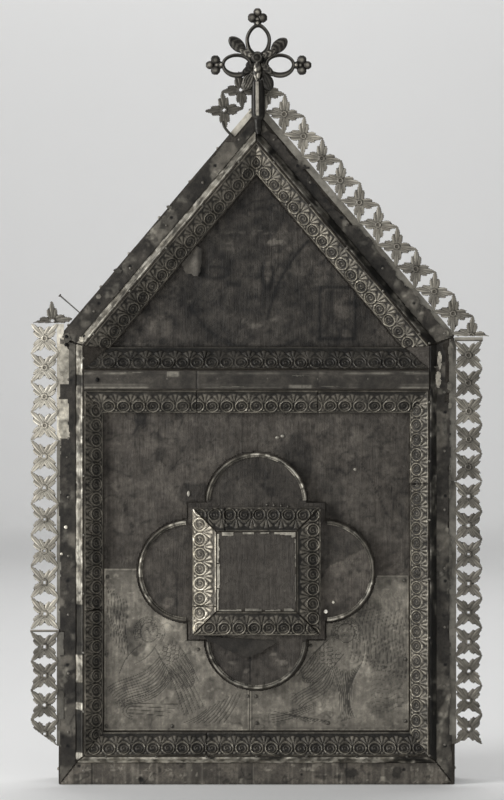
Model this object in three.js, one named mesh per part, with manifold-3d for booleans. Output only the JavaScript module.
// Gable-shaped panel reliquary: an oak body with a mitred frame of raised mouldings, skinned with thin sheet
// metal, stamped scroll strips on the inner slopes, a raised quatrefoil on the main field, openwork leaf
// crests along the edges and a cross finial on the apex.
// Millimetres. X to the right, +Z up, the decorated front faces -Y. The origin is the middle of the underside.
import * as THREE from "three";
import { mergeVertices } from "three/addons/utils/BufferGeometryUtils.js";
import Module from "manifold-3d";

const wasm = await Module();
wasm.setup();

// ---------------------------------------------------------------- driving dimensions
const HALF_WIDTH = 158; // body, half of its width
const EAVES_Z = 358; // top of the upright sides
const APEX_Z = 545; // top of the gable
const BACK_Y = 24;

// Depths of the front, from the deepest recess to the highest edge
const FIELD_Y = -20; // bare board between the mouldings
const FOOT_Y = -22.5; // lower edge of the inner slopes
const BORDER_Y = -26.4; // flat outer border of the mouldings
const RIDGE_Y = -33; // crest line of the mouldings
const LOBE_Y = -26; // face of the quatrefoil lobes
const CENTRE_Y = -34; // face of the central square

// Bands of each moulding, measured in from the outer edge of the body
const STILE = { border: 14, ridge: 20, foot: 34.4 };
const BOTTOM = { border: 18, ridge: 23.2, foot: 41.2 };
const RAFTER = { border: 14, ridge: 19.6, foot: 35.6 };
const CROSS_RAIL = { lowerFoot: 298, lowerRidge: 316, upperRidge: 331.5, upperFoot: 349.8 };

const GAP = 0.3; // clearance between touching pieces
const SHEET = 0.5; // thickness of the sheet metal
const STRIP_INSET = 0.9; // plain margin that keeps neighbouring strips clear of each other

// Quatrefoil, centred on the main field
const QUATREFOIL = { z: 170.8, lobeRadius: 40.8, lobeOffset: 54, baseHalf: 54.6, arcSteps: 16 };
const CENTRE = { outerHalf: 51, innerHalf: 31.5, lowerY: LOBE_Y - GAP };
const RIM = { width: 2.6, height: 2, steps: 14 };

// Engraved plates in the lower corners of the main field
const PLATE = { leftTop: 172.4, rightTop: 167, seamX: -5.6, clearance: 1.2 };

// Openwork crests: square cells along an edge, one four-leaved floret to a cell
const CREST = { half: 10.6, centre: 11.6, thickness: 1.6, flange: 5, tipOverlap: 0.7, boss: 2.6 };
const LEFT_CREST = [
  { name: "crest_left_upper", top: 368.6, pitch: 23.3, count: 4, bar: 0 },
  { name: "crest_left_middle", top: 275, pitch: 25.1, count: 6, bar: 0 },
  { name: "crest_left_lower", top: 122, pitch: 23.3, count: 4, bar: 2 },
];
const RIGHT_CREST = [
  { name: "crest_right_upper", top: 354.8, pitch: 22.4, count: 5, bar: 3.2 },
  { name: "crest_right_lower", top: 242.4, pitch: 23.3, count: 9, bar: 0 },
];
const LEFT_BREAK = { outerZ: 46, innerZ: 29.5 }; // the slanting break at the foot of the left crest
const RAFTER_CREST = { pitch: 23.2, first: -2.2, count: 12 }; // measured down from the apex
const SHOULDER_FLORET = { along: 6.5, centre: 12.2 }; // measured up from the left shoulder
const APEX_FRAGMENT = { pitch: 20.8, first: 223.9, count: 2, centre: 16.4 };

// Finial, in front of the crests
const FINIAL = {
  backY: -28.8,
  thickness: 4.4,
  crossZ: 575.4,
  hubZ: 580.6,
  hub: 5.6,
  eyeRing: 2.7,
  topEye: { z: 595.6, halfWidth: 7.2, halfHeight: 9.6 },
  sideEye: { x: 17.2, halfWidth: 9.4, halfHeight: 6.1 },
  trefoil: { ball: 3.4, spread: 4.5, topZ: 611.8, sideX: 33.6 },
  upperLeaf: { x: 21.8, z: 596.8, width: 7.4 },
  lowerLeaf: { x: 9.4, z: 560.8, radius: 4.2 },
};
const STEM = { width: 9.8, depth: 6.4, topZ: 563, footZ: 538.5, tangWidth: 5, tangFootZ: 524.5 };

// Loose nail at the left shoulder
const PIN = { head: [-157.2, 391.3], foot: [-141.6, 377.7], radius: 0.6, headRadius: 1.3 };

// ---------------------------------------------------------------- geometry helpers

/** A point of the front plan, [x, z], at a depth. */
const at = ([x, z], y) => new THREE.Vector3(x, y, z);

/** A closed mesh as a solid for cutting and joining. */
function solidFrom(geometry) {
  const bare = (geometry.index ? geometry.toNonIndexed() : geometry.clone());
  bare.deleteAttribute("normal");
  bare.deleteAttribute("uv");
  const merged = mergeVertices(bare, 1e-4);
  return new wasm.Manifold(
    new wasm.Mesh({
      numProp: 3,
      vertProperties: new Float32Array(merged.attributes.position.array),
      triVerts: new Uint32Array(merged.index.array),
    }),
  );
}

/** A solid as a mesh geometry. */
function geometryFrom(solid) {
  const mesh = solid.getMesh();
  const positions = new Float32Array(mesh.numVert * 3);
  for (let i = 0; i < mesh.numVert; i++) {
    positions.set(mesh.vertProperties.subarray(i * mesh.numProp, i * mesh.numProp + 3), i * 3);
  }
  const geometry = new THREE.BufferGeometry();
  geometry.setAttribute("position", new THREE.BufferAttribute(positions, 3));
  geometry.setIndex(new THREE.BufferAttribute(mesh.triVerts, 1));
  geometry.computeVertexNormals();
  return geometry;
}

/** Closed geometries joined into one. */
function joined(geometries) {
  return geometryFrom(geometries.map(solidFrom).reduce((a, b) => a.add(b)));
}

/** One closed geometry less another. */
const cut = (geometry, tool) => geometryFrom(solidFrom(geometry).subtract(solidFrom(tool)));

/** A flat plan outline, [x, z] points or a Shape, as a slab between two depths. */
function slab(outline, backY, frontY) {
  const shape = outline instanceof THREE.Shape
    ? outline
    : new THREE.Shape(outline.map(([x, z]) => new THREE.Vector2(x, z)));
  const geometry = new THREE.ExtrudeGeometry(shape, {
    depth: backY - frontY,
    bevelEnabled: false,
    curveSegments: 10,
  });
  return geometry.rotateX(Math.PI / 2).translate(0, backY, 0);
}

/**
 * A block with a flat back and a faceted front. Points are [x, z, y] and facets list them anticlockwise as
 * seen from the front. The plan is drawn in by half a gap on every side.
 */
function facetedBlock(points, facets, backY) {
  const middle = [0, 1].map((axis) => {
    const values = points.map((p) => p[axis]);
    return (Math.min(...values) + Math.max(...values)) / 2;
  });
  const inset = (value, axis) => value + Math.sign(middle[axis] - value) * (GAP / 2);
  const plan = points.map(([x, z, y]) => [inset(x, 0), inset(z, 1), y]);
  const positions = [
    ...plan.flatMap(([x, z, y]) => [x, y, z]),
    ...plan.flatMap(([x, z]) => [x, backY, z]),
  ];
  const count = plan.length;
  const index = [];
  const edges = new Map();
  for (const facet of facets) {
    for (let i = 1; i + 1 < facet.length; i++) {
      const [a, b, c] = [facet[0], facet[i], facet[i + 1]];
      index.push(a, b, c, a + count, c + count, b + count);
    }
    facet.forEach((a, i) => {
      const b = facet[(i + 1) % facet.length];
      if (!edges.delete(`${b},${a}`)) edges.set(`${a},${b}`, [a, b]);
    });
  }
  for (const [a, b] of edges.values()) {
    index.push(a, a + count, b + count, a, b + count, b);
  }
  const geometry = new THREE.BufferGeometry();
  geometry.setAttribute("position", new THREE.Float32BufferAttribute(positions, 3));
  geometry.setIndex(index);
  geometry.computeVertexNormals();
  return geometry;
}

/** A convex outline moved in on every side. */
function shrunk(outline, distance) {
  const lines = outline.map((a, i) => {
    const b = outline[(i + 1) % outline.length];
    const along = b.clone().sub(a).normalize();
    const inward = new THREE.Vector2(-along.y, along.x);
    return { from: a.clone().addScaledVector(inward, distance), along };
  });
  return lines.map((line, i) => {
    const last = lines[(i + lines.length - 1) % lines.length];
    const between = line.from.clone().sub(last.from);
    const t = between.cross(line.along) / last.along.cross(line.along);
    return last.from.clone().addScaledVector(last.along, t);
  });
}

/** A flat strip laid on a sloping face, whose corners run anticlockwise as seen from the front. */
function laidStrip(corners, inset = STRIP_INSET, thickness = SHEET) {
  const u = corners[1].clone().sub(corners[0]).normalize();
  const normal = u.clone().cross(corners[2].clone().sub(corners[0])).normalize();
  const v = normal.clone().cross(u);
  const flat = corners.map((c) => {
    const d = c.clone().sub(corners[0]);
    return new THREE.Vector2(d.dot(u), d.dot(v));
  });
  const shape = new THREE.Shape(shrunk(flat, inset));
  const geometry = new THREE.ExtrudeGeometry(shape, { depth: thickness, bevelEnabled: false });
  const origin = corners[0].clone().addScaledVector(normal, GAP);
  return geometry.applyMatrix4(new THREE.Matrix4().makeBasis(u, v, normal).setPosition(origin));
}

const mirrored = ([x, z]) => [-x, z];

// ---------------------------------------------------------------- plan of the mouldings

const slope = (APEX_Z - EAVES_Z) / HALF_WIDTH;
const rafterCos = 1 / Math.hypot(1, slope);
const rafterSin = slope * rafterCos;

/** Height of the line that runs in from the left slope at a distance, over a place across the front. */
const rafterLine = (x, inset) => EAVES_Z - inset / rafterCos + slope * (x + HALF_WIDTH);
/** Place across the front where that line reaches a height. */
const rafterLineX = (z, inset) => (z - EAVES_Z + inset / rafterCos) / slope - HALF_WIDTH;

/** The corners of one band of the mouldings on the left half, from the bottom corner to the apex. */
function bandCorners(key) {
  const x = -HALF_WIDTH + STILE[key];
  return {
    bottom: [x, BOTTOM[key]],
    shoulder: [x, rafterLine(x, RAFTER[key])],
    apex: [0, APEX_Z - RAFTER[key] / rafterCos],
  };
}

const border = bandCorners("border");
const ridge = bandCorners("ridge");
const edge = { bottom: [-HALF_WIDTH, 0], shoulder: [-HALF_WIDTH, EAVES_Z], apex: [0, APEX_Z] };
const field = {
  bottom: [-HALF_WIDTH + STILE.foot, BOTTOM.foot],
  top: [-HALF_WIDTH + STILE.foot, CROSS_RAIL.lowerFoot],
};
const gable = {
  corner: [rafterLineX(CROSS_RAIL.upperFoot, RAFTER.foot), CROSS_RAIL.upperFoot],
  apex: [0, APEX_Z - RAFTER.foot / rafterCos],
};
const railLower = [ridge.bottom[0], CROSS_RAIL.lowerRidge];
const railUpper = [ridge.bottom[0], CROSS_RAIL.upperRidge];

const house = [
  edge.bottom,
  mirrored(edge.bottom),
  mirrored(edge.shoulder),
  edge.apex,
  edge.shoulder,
];

// ---------------------------------------------------------------- the group and its finishes

const group = new THREE.Group();

const finish = (color, roughness, metalness) =>
  new THREE.MeshStandardMaterial({ color, roughness, metalness });
const oak = finish(0x4a3b2c, 0.85, 0);
const darkCopper = finish(0x3d342a, 0.6, 0.7);
const giltCopper = finish(0xa88f5c, 0.42, 0.9);
const stampedCopper = finish(0x5d4f38, 0.5, 0.85);
const engravedCopper = finish(0x7d7050, 0.45, 0.85);
const crestBrass = finish(0x74684b, 0.45, 0.85);
const castBronze = finish(0x3a3227, 0.5, 0.8);
const iron = finish(0x37322d, 0.6, 0.7);

function add(name, geometry, material) {
  const mesh = new THREE.Mesh(geometry, material);
  mesh.name = name;
  group.add(mesh);
}

/** Adds a piece and its mirror image on the other side of the body. */
function addPair(name, build, material) {
  add(`${name}_left`, build((corner) => corner, 1), material);
  add(`${name}_right`, build(mirrored, -1), material);
}

/** Keeps facets anticlockwise when their points have been mirrored. */
const turned = (facets, side) => (side > 0 ? facets : facets.map((facet) => [...facet].reverse()));

// ---------------------------------------------------------------- oak body and mouldings

function addBody() {
  add("core_board", slab(house, BACK_Y, FIELD_Y), oak);
}

function addStiles() {
  addPair("stile", (side, sign) => {
    const points = [
      [...side(edge.bottom), BORDER_Y],
      [...side(border.bottom), BORDER_Y],
      [...side(ridge.bottom), RIDGE_Y],
      [...side(field.bottom), FOOT_Y],
      [...side(field.top), FOOT_Y],
      [...side(railLower), RIDGE_Y],
      [...side(ridge.shoulder), RIDGE_Y],
      [...side(border.shoulder), BORDER_Y],
      [...side(edge.shoulder), BORDER_Y],
    ];
    const facets = [[0, 1, 7, 8], [1, 2, 5, 6, 7], [2, 3, 4, 5]];
    return facetedBlock(points, turned(facets, sign), FIELD_Y - GAP);
  }, oak);
}

function addBottomRail() {
  const points = [
    [...edge.bottom, BORDER_Y],
    [...mirrored(edge.bottom), BORDER_Y],
    [...mirrored(border.bottom), BORDER_Y],
    [...border.bottom, BORDER_Y],
    [...mirrored(ridge.bottom), RIDGE_Y],
    [...ridge.bottom, RIDGE_Y],
    [...mirrored(field.bottom), FOOT_Y],
    [...field.bottom, FOOT_Y],
  ];
  // The underside stays level with the board's, so the block is let down by the half gap.
  const rail = facetedBlock(points, [[0, 1, 2, 3], [3, 2, 4, 5], [5, 4, 6, 7]], FIELD_Y - GAP);
  add("rail_bottom", rail.translate(0, 0, -GAP / 2), oak);
}

function addCrossRail() {
  const points = [
    [...field.top, FOOT_Y],
    [...mirrored(field.top), FOOT_Y],
    [...mirrored(railLower), RIDGE_Y],
    [...railLower, RIDGE_Y],
    [...mirrored(railUpper), RIDGE_Y],
    [...railUpper, RIDGE_Y],
    [...mirrored(gable.corner), FOOT_Y],
    [...gable.corner, FOOT_Y],
    [...mirrored(ridge.shoulder), RIDGE_Y],
    [...ridge.shoulder, RIDGE_Y],
  ];
  const facets = [[0, 1, 2, 3], [3, 2, 4, 5], [5, 4, 6, 7], [5, 7, 9], [4, 8, 6]];
  add("rail_cross", facetedBlock(points, facets, FIELD_Y - GAP), oak);
}

function addRafters() {
  addPair("rafter", (side, sign) => {
    const points = [
      [...side(edge.shoulder), BORDER_Y],
      [...side(border.shoulder), BORDER_Y],
      [...side(border.apex), BORDER_Y],
      [...side(edge.apex), BORDER_Y],
      [...side(ridge.shoulder), RIDGE_Y],
      [...side(ridge.apex), RIDGE_Y],
      [...side(gable.corner), FOOT_Y],
      [...side(gable.apex), FOOT_Y],
    ];
    const facets = [[0, 1, 2, 3], [1, 4, 5, 2], [4, 6, 7, 5]];
    return facetedBlock(points, turned(facets, sign), FIELD_Y - GAP);
  }, oak);
}

// ---------------------------------------------------------------- sheet metal on the mouldings

/** The plan corners of a band between two rows of corners, as a strip laid on its slope. */
function bandStrip(outer, outerY, inner, innerY, inset) {
  const corners = [...outer.map((p) => at(p, outerY)), ...inner.map((p) => at(p, innerY))];
  return laidStrip(corners, inset);
}

/** Corners anticlockwise on either side of the body. */
const ordered = (corners, sign) => (sign > 0 ? corners : [...corners].reverse());

function flatBorder(corners) {
  const outline = shrunk(corners.map(([x, z]) => new THREE.Vector2(x, z)), GAP);
  const backY = BORDER_Y - GAP - SHEET - GAP; // the crests' flanges lie under the border sheets
  return slab(outline.map((p) => [p.x, p.y]), backY, backY - SHEET);
}

function addBorders() {
  addPair("border", (side, sign) => {
    const corners = [edge.bottom, border.bottom, border.shoulder, edge.shoulder].map(side);
    return flatBorder(ordered(corners, sign));
  }, darkCopper);
  addPair("border_rafter", (side, sign) => {
    const corners = [edge.shoulder, border.shoulder, border.apex, edge.apex].map(side);
    return flatBorder(ordered(corners, sign));
  }, darkCopper);
  const bottom = [edge.bottom, mirrored(edge.bottom), mirrored(border.bottom), border.bottom];
  add("border_bottom", flatBorder(bottom), darkCopper);
  const band = [railLower, mirrored(railLower), mirrored(railUpper), railUpper];
  add("border_cross", laidStrip(band.map((p) => at(p, RIDGE_Y))), darkCopper);
}

function addChamferStrips() {
  addPair("edge", (side, sign) => {
    const corners = [
      at(side(border.bottom), BORDER_Y),
      at(side(ridge.bottom), RIDGE_Y),
      at(side(ridge.shoulder), RIDGE_Y),
      at(side(border.shoulder), BORDER_Y),
    ];
    return laidStrip(ordered(corners, sign));
  }, giltCopper);
  addPair("edge_rafter", (side, sign) => {
    const corners = [
      at(side(border.shoulder), BORDER_Y),
      at(side(ridge.shoulder), RIDGE_Y),
      at(side(ridge.apex), RIDGE_Y),
      at(side(border.apex), BORDER_Y),
    ];
    return laidStrip(ordered(corners, sign));
  }, giltCopper);
  add("edge_bottom", bandStrip(
    [border.bottom, mirrored(border.bottom)], BORDER_Y,
    [mirrored(ridge.bottom), ridge.bottom], RIDGE_Y,
  ), giltCopper);
}

function addStampedStrips() {
  addPair("strip_field", (side, sign) => {
    const corners = [
      at(side(ridge.bottom), RIDGE_Y),
      at(side(field.bottom), FOOT_Y),
      at(side(field.top), FOOT_Y),
      at(side(railLower), RIDGE_Y),
    ];
    return laidStrip(ordered(corners, sign));
  }, stampedCopper);
  addPair("strip_gable", (side, sign) => {
    const corners = [
      at(side(ridge.shoulder), RIDGE_Y),
      at(side(gable.corner), FOOT_Y),
      at(side(gable.apex), FOOT_Y),
      at(side(ridge.apex), RIDGE_Y),
    ];
    return laidStrip(ordered(corners, sign));
  }, stampedCopper);
  add("strip_field_bottom", bandStrip(
    [ridge.bottom, mirrored(ridge.bottom)], RIDGE_Y,
    [mirrored(field.bottom), field.bottom], FOOT_Y,
  ), stampedCopper);
  add("strip_field_top", bandStrip(
    [field.top, mirrored(field.top)], FOOT_Y,
    [mirrored(railLower), railLower], RIDGE_Y,
  ), stampedCopper);
  add("strip_gable_bottom", bandStrip(
    [railUpper, mirrored(railUpper)], RIDGE_Y,
    [mirrored(gable.corner), gable.corner], FOOT_Y,
  ), stampedCopper);
}

/** A scrap of the lost gable sheet, still held at the foot of the left rafter. */
function addGableFragment() {
  const outline = [[-62.8, 413.6], [-58, 408.6], [-52.6, 414], [-49, 410.6], [-45.2, 418], [-45.4, 433]];
  const backY = FIELD_Y - GAP;
  add("gable_fragment", slab(outline, backY, backY - SHEET), darkCopper);
}

// ---------------------------------------------------------------- quatrefoil

/** Plan of the quatrefoil: four round lobes over a square, grown by a margin on every side. */
function quatrefoilOutline(margin) {
  const radius = QUATREFOIL.lobeRadius + margin;
  const half = QUATREFOIL.baseHalf + margin;
  // Angle from a lobe's own axis at which its circle meets the side of the square
  const meet = Math.acos((half - QUATREFOIL.lobeOffset) / radius);
  const points = [];
  for (let lobe = 0; lobe < 4; lobe++) {
    const turn = (lobe * Math.PI) / 2;
    for (let i = 0; i <= QUATREFOIL.arcSteps; i++) {
      const angle = turn - meet + (2 * meet * i) / QUATREFOIL.arcSteps;
      points.push([
        QUATREFOIL.lobeOffset * Math.cos(turn) + radius * Math.cos(angle),
        QUATREFOIL.z + QUATREFOIL.lobeOffset * Math.sin(turn) + radius * Math.sin(angle),
      ]);
    }
    const corner = turn + Math.PI / 4;
    points.push([
      half * Math.SQRT2 * Math.cos(corner),
      QUATREFOIL.z + half * Math.SQRT2 * Math.sin(corner),
    ]);
  }
  return points;
}

function addQuatrefoil() {
  add("quatrefoil_block", slab(quatrefoilOutline(0), FIELD_Y - GAP, LOBE_Y), oak);
}

/** The raised square in the middle: a low block whose four sides slope up to a flat face. */
function addCentre() {
  const ring = (half, y) => [[-1, -1], [1, -1], [1, 1], [-1, 1]].map(([sx, sz]) => [
    sx * half,
    QUATREFOIL.z + sz * half,
    y,
  ]);
  const outer = ring(CENTRE.outerHalf, CENTRE.lowerY - 1);
  const inner = ring(CENTRE.innerHalf, CENTRE_Y);
  const sides = [0, 1, 2, 3].map((i) => [i, (i + 1) % 4, 4 + ((i + 1) % 4), 4 + i]);
  const block = facetedBlock([...outer, ...inner], [...sides, [4, 5, 6, 7]], CENTRE.lowerY);
  add("centre_block", block, oak);
  const names = ["bottom", "right", "top", "left"];
  names.forEach((name, i) => {
    const next = (i + 1) % 4;
    const corners = [outer[i], outer[next], inner[next], inner[i]].map(([x, z, y]) => at([x, z], y));
    add(`strip_centre_${name}`, laidStrip(corners), stampedCopper);
  });
}

/** The bead along the outer edge of each lobe. */
function addLobeRims() {
  const { lobeRadius, lobeOffset, baseHalf, z } = QUATREFOIL;
  const outerRadius = lobeRadius - 0.4;
  const innerRadius = outerRadius - RIM.width;
  const reach = Math.acos((baseHalf - lobeOffset + 1) / innerRadius);
  const backY = LOBE_Y - GAP;
  ["right", "top", "left", "bottom"].forEach((name, lobe) => {
    const turn = (lobe * Math.PI) / 2;
    const arc = (radius, from, to) => Array.from({ length: RIM.steps + 1 }, (_, i) => {
      const angle = turn + from + ((to - from) * i) / RIM.steps;
      return [
        lobeOffset * Math.cos(turn) + radius * Math.cos(angle),
        z + lobeOffset * Math.sin(turn) + radius * Math.sin(angle),
      ];
    });
    const outline = [...arc(outerRadius, -reach, reach), ...arc(innerRadius, reach, -reach)];
    add(`lobe_rim_${name}`, slab(outline, backY, backY - RIM.height), giltCopper);
  });
}

// ---------------------------------------------------------------- engraved plates

function addEngravedPlates() {
  const margin = 1.4; // bare board between a plate and the mouldings
  const left = field.bottom[0] + margin;
  const bottom = field.bottom[1] + margin;
  const backY = FIELD_Y - GAP;
  const clearOfQuatrefoil = slab(quatrefoilOutline(PLATE.clearance), backY + 1, backY - 2);
  const plate = (x0, x1, top) => {
    const outline = [[x0, bottom], [x1, bottom], [x1, top], [x0, top]];
    const sheet = cut(slab(outline, backY, backY - SHEET), clearOfQuatrefoil);
    return sheet;
  };
  add("plate_left", plate(left, PLATE.seamX - GAP / 2, PLATE.leftTop), engravedCopper);
  add("plate_right", plate(PLATE.seamX + GAP / 2, -left, PLATE.rightTop), engravedCopper);
}

// ---------------------------------------------------------------- openwork crests

/** Half of a trilobed leaf: how far out and how wide, as shares of the leaf's length. */
const LEAF_HALF = [[0.16, 0.13], [0.5, 0.23], [0.6, 0.13], [1, 0.06]];

/** Outline of a floret about its middle, its leaves pointing along the given angles. */
function floretOutline(angles, length) {
  return angles.flatMap((angle) => {
    const side = (sign) => LEAF_HALF.map(([out, wide]) => {
      const p = new THREE.Vector2(out * length, sign * wide * length);
      return p.rotateAround(new THREE.Vector2(), angle);
    });
    return [...side(-1), ...side(1).slice(1).reverse()];
  });
}

/** Angles from the middle of a cell to its corners. */
function cornerAngles(pitch, half) {
  const lean = Math.atan2(half, pitch / 2);
  return [lean, Math.PI - lean, Math.PI + lean, 2 * Math.PI - lean];
}

/** A ring of points about a place in the plan. */
function circle([x, z], radius, count, start = 0) {
  return Array.from({ length: count }, (_, i) => {
    const angle = start + (2 * Math.PI * i) / count;
    return [x + radius * Math.cos(angle), z + radius * Math.sin(angle)];
  });
}

const crestBackY = BORDER_Y - GAP;
const crestFrontY = crestBackY - CREST.thickness;

/** One floret with its boss, in the plan of a crest. */
function floret(along, out, pitch, half = CREST.half) {
  const length = Math.hypot(pitch / 2, half) + CREST.tipOverlap;
  const outline = floretOutline(cornerAngles(pitch, half), length);
  const leaves = outline.map((p) => [p.x + along, p.y + out]);
  const boss = circle([along, out], CREST.boss, 6);
  return [slab(leaves, crestBackY, crestFrontY), slab(boss, crestBackY, crestFrontY - 0.5)];
}

/**
 * A crest in its own plan: X runs along the edge from 0 and Z stands out from it. The flange reaches back
 * over the border, under its sheet.
 */
function crestPlan({ pitch, count, first = pitch / 2, centre = CREST.centre, flange = true }) {
  const parts = [];
  for (let i = 0; i < count; i++) parts.push(...floret(first + i * pitch, centre, pitch));
  const start = first - pitch / 2;
  const end = start + count * pitch;
  const low = centre - CREST.half;
  const strip = flange
    ? [[start, -CREST.flange], [end, -CREST.flange], [end, low + 0.8], [start, low + 0.8]]
    : [[start, low - 0.8], [end, low - 0.8], [end, low + 0.8], [start, low + 0.8]];
  parts.push(slab(strip, crestBackY, crestBackY - SHEET));
  return trimmed(trimmed(joined(parts), [start - 30, -10], [start, 40]), [end, -10], [end + 30, 40]);
}

/** A crest less everything inside a rectangle of the plan. */
function trimmed(geometry, [x0, z0], [x1, z1]) {
  const outline = [[x0, z0], [x1, z0], [x1, z1], [x0, z1]];
  return cut(geometry, slab(outline, crestBackY + 5, crestFrontY - 5));
}

/** Turns a crest plan onto an edge that starts at a plan point and runs at an angle. */
const ontoEdge = (geometry, [x, z], angle) => geometry.rotateY(-angle).translate(x, 0, z);

/** A tie bar across the end of a crest. */
function crestBar(side, lowZ, highZ) {
  const inner = side * (HALF_WIDTH + 0.4);
  const outer = side * (HALF_WIDTH + CREST.centre + CREST.half + 0.8);
  const [x0, x1] = [Math.min(inner, outer), Math.max(inner, outer)];
  return slab([[x0, lowZ], [x1, lowZ], [x1, highZ], [x0, highZ]], crestBackY, crestFrontY);
}

function addSideCrests() {
  for (const { name, top, pitch, count, bar } of LEFT_CREST) {
    const plan = crestPlan({ pitch, count });
    let crest = ontoEdge(plan, [-HALF_WIDTH, top - count * pitch], Math.PI / 2);
    if (bar) {
      const reach = HALF_WIDTH + 60;
      const rise = (LEFT_BREAK.outerZ - LEFT_BREAK.innerZ) / (CREST.centre + CREST.half);
      const lost = slab([
        [-reach, -20],
        [-HALF_WIDTH + 20, -20],
        [-HALF_WIDTH + 20, LEFT_BREAK.innerZ - 20 * rise],
        [-reach, LEFT_BREAK.innerZ + 60 * rise],
      ], crestBackY + 5, crestFrontY - 5);
      crest = cut(joined([crest, crestBar(-1, top - 0.8, top + bar)]), lost);
    }
    add(name, crest, crestBrass);
  }
  for (const { name, top, pitch, count, bar } of RIGHT_CREST) {
    const crest = ontoEdge(crestPlan({ pitch, count }), [HALF_WIDTH, top], -Math.PI / 2);
    add(name, bar ? joined([crest, crestBar(1, top - 0.8, top + bar)]) : crest, crestBrass);
  }
}

function addRafterCrests() {
  const angle = Math.atan(slope);
  const right = ontoEdge(crestPlan(RAFTER_CREST), edge.apex, -angle);
  const rightTop = RIGHT_CREST[0].top + RIGHT_CREST[0].bar + GAP;
  const partX = -2.8; // where the two crests part at the apex
  const aboveBar = trimmed(right, [HALF_WIDTH - 12, rightTop - 60], [HALF_WIDTH + 60, rightTop]);
  add("crest_rafter_right", trimmed(aboveBar, [partX - 60, APEX_Z - 20], [partX, APEX_Z + 80]), crestBrass);
  const fragment = ontoEdge(crestPlan({ ...APEX_FRAGMENT, flange: false }), edge.shoulder, angle);
  const apart = partX - GAP;
  const parted = trimmed(fragment, [apart, APEX_Z - 20], [apart + 60, APEX_Z + 80]);
  add("crest_rafter_left", parted, crestBrass);
  const shoulder = crestPlan({
    pitch: RAFTER_CREST.pitch,
    count: 1,
    first: SHOULDER_FLORET.along,
    centre: SHOULDER_FLORET.centre,
  });
  const floretTop = LEFT_CREST[0].top + GAP;
  const corner = [-HALF_WIDTH - 60, floretTop - 60];
  const inner = [-HALF_WIDTH + CREST.flange + GAP, floretTop];
  const clear = trimmed(ontoEdge(shoulder, edge.shoulder, angle), corner, inner);
  add("crest_shoulder_left", clear, crestBrass);
}

// ---------------------------------------------------------------- finial and pin

/** An oval ring in the plan as a slab with a hole through it. */
function eye([x, z], halfWidth, halfHeight, backY, frontY) {
  const shape = new THREE.Shape();
  shape.absellipse(x, z, halfWidth + FINIAL.eyeRing, halfHeight + FINIAL.eyeRing, 0, 2 * Math.PI);
  const hole = new THREE.Path();
  hole.absellipse(x, z, halfWidth, halfHeight, 0, 2 * Math.PI, true);
  shape.holes.push(hole);
  return slab(shape, backY, frontY);
}

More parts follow.
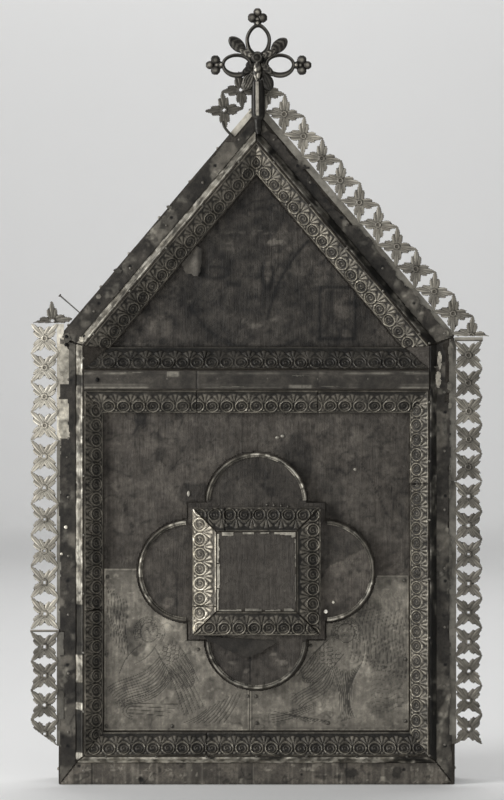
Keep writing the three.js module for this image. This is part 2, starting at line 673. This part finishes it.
function addFinial() {
  const { backY, thickness, crossZ, hubZ, topEye, sideEye, trefoil, upperLeaf, lowerLeaf } = FINIAL;
  const back = backY - 0.8;
  const front = back - thickness;
  const parts = [
    slab(circle([0, hubZ], FINIAL.hub, 12), back, front - 0.8),
    eye([0, topEye.z], topEye.halfWidth, topEye.halfHeight, back, front),
    eye([-sideEye.x, crossZ], sideEye.halfWidth, sideEye.halfHeight, back, front),
    eye([sideEye.x, crossZ], sideEye.halfWidth, sideEye.halfHeight, back, front),
    slab([[-5, STEM.topZ - 2], [5, STEM.topZ - 2], [5.5, hubZ], [-5.5, hubZ]], back, front),
  ];
  const ends = [[0, trefoil.topZ, 90], [-trefoil.sideX, crossZ, 180], [trefoil.sideX, crossZ, 0]];
  for (const [x, z, facing] of ends) {
    for (const turn of [-90, 0, 90]) {
      const angle = ((facing + turn) * Math.PI) / 180;
      const centre = [x + trefoil.spread * Math.cos(angle), z + trefoil.spread * Math.sin(angle)];
      parts.push(slab(circle(centre, trefoil.ball, 8), back, front));
    }
    parts.push(slab(circle([x, z], trefoil.ball, 8), back, front));
  }
  // Necks between the eyes and the trefoils
  const neckTop = topEye.z + topEye.halfHeight + 1;
  parts.push(slab([[-2, neckTop], [2, neckTop], [2, trefoil.topZ], [-2, trefoil.topZ]], back, front));
  const neckX = sideEye.x + sideEye.halfWidth + 1;
  for (const side of [-1, 1]) {
    const [near, far] = [side * neckX, side * trefoil.sideX];
    const neck = [[near, crossZ - 2], [far, crossZ - 2], [far, crossZ + 2], [near, crossZ + 2]];
    parts.push(slab(neck, back, front));
  }
  for (const side of [-1, 1]) {
    const tip = [side * upperLeaf.x, upperLeaf.z];
    const root = [side * 3, hubZ + 3];
    const across = [-side * upperLeaf.width * 0.35, upperLeaf.width * 0.35];
    const middle = [(tip[0] * 2 + root[0]) / 3, (tip[1] * 2 + root[1]) / 3];
    const leaf = [
      root,
      [middle[0] - across[0], middle[1] - across[1]],
      tip,
      [middle[0] + across[0], middle[1] + across[1]],
    ];
    parts.push(slab(leaf, back, front));
    const drop = [side * lowerLeaf.x, lowerLeaf.z];
    parts.push(slab(circle(drop, lowerLeaf.radius, 8), back, front));
    const throat = lowerLeaf.z + 10;
    const neck = [
      [side * 3.4, throat],
      [side * (lowerLeaf.x - 4), lowerLeaf.z - 1.6],
      [side * lowerLeaf.x, lowerLeaf.z + 1.5],
      [side * 6, throat + 2],
    ];
    parts.push(slab(neck, back, front));
  }
  add("finial_cross", joined(parts), castBronze);

  const half = STEM.width / 2;
  const tang = STEM.tangWidth / 2;
  const stem = [
    [-tang, STEM.tangFootZ],
    [tang, STEM.tangFootZ],
    [tang, STEM.footZ - 4],
    [half * 0.8, STEM.footZ - 2.5],
    [half, STEM.footZ],
    [half, STEM.topZ - 2 - GAP],
    [-half, STEM.topZ - 2 - GAP],
    [-half, STEM.footZ],
    [-half * 0.8, STEM.footZ - 2.5],
    [-tang, STEM.footZ - 4],
  ];
  add("finial_stem", slab(stem, backY, backY - STEM.depth), castBronze);
}

function addPin() {
  const [x0, z0] = PIN.head;
  const [x1, z1] = PIN.foot;
  const y = BORDER_Y - 2.6;
  const length = Math.hypot(x1 - x0, z1 - z0);
  const shaft = new THREE.CylinderGeometry(PIN.radius, PIN.radius, length, 8);
  const head = new THREE.CylinderGeometry(PIN.headRadius, PIN.headRadius, 0.8, 8);
  head.translate(0, length / 2, 0);
  const pin = joined([shaft, head]);
  const along = new THREE.Vector3(x0 - x1, 0, z0 - z1).normalize();
  const turn = new THREE.Quaternion().setFromUnitVectors(new THREE.Vector3(0, 1, 0), along);
  pin.applyQuaternion(turn).translate((x0 + x1) / 2, y, (z0 + z1) / 2);
  add("pin_shoulder", pin, iron);
}

addBody();
addStiles();
addBottomRail();
addCrossRail();
addRafters();
addBorders();
addChamferStrips();
addStampedStrips();
addGableFragment();
addQuatrefoil();
addCentre();
addLobeRims();
addEngravedPlates();
addSideCrests();
addRafterCrests();
addFinial();
addPin();

export default group;
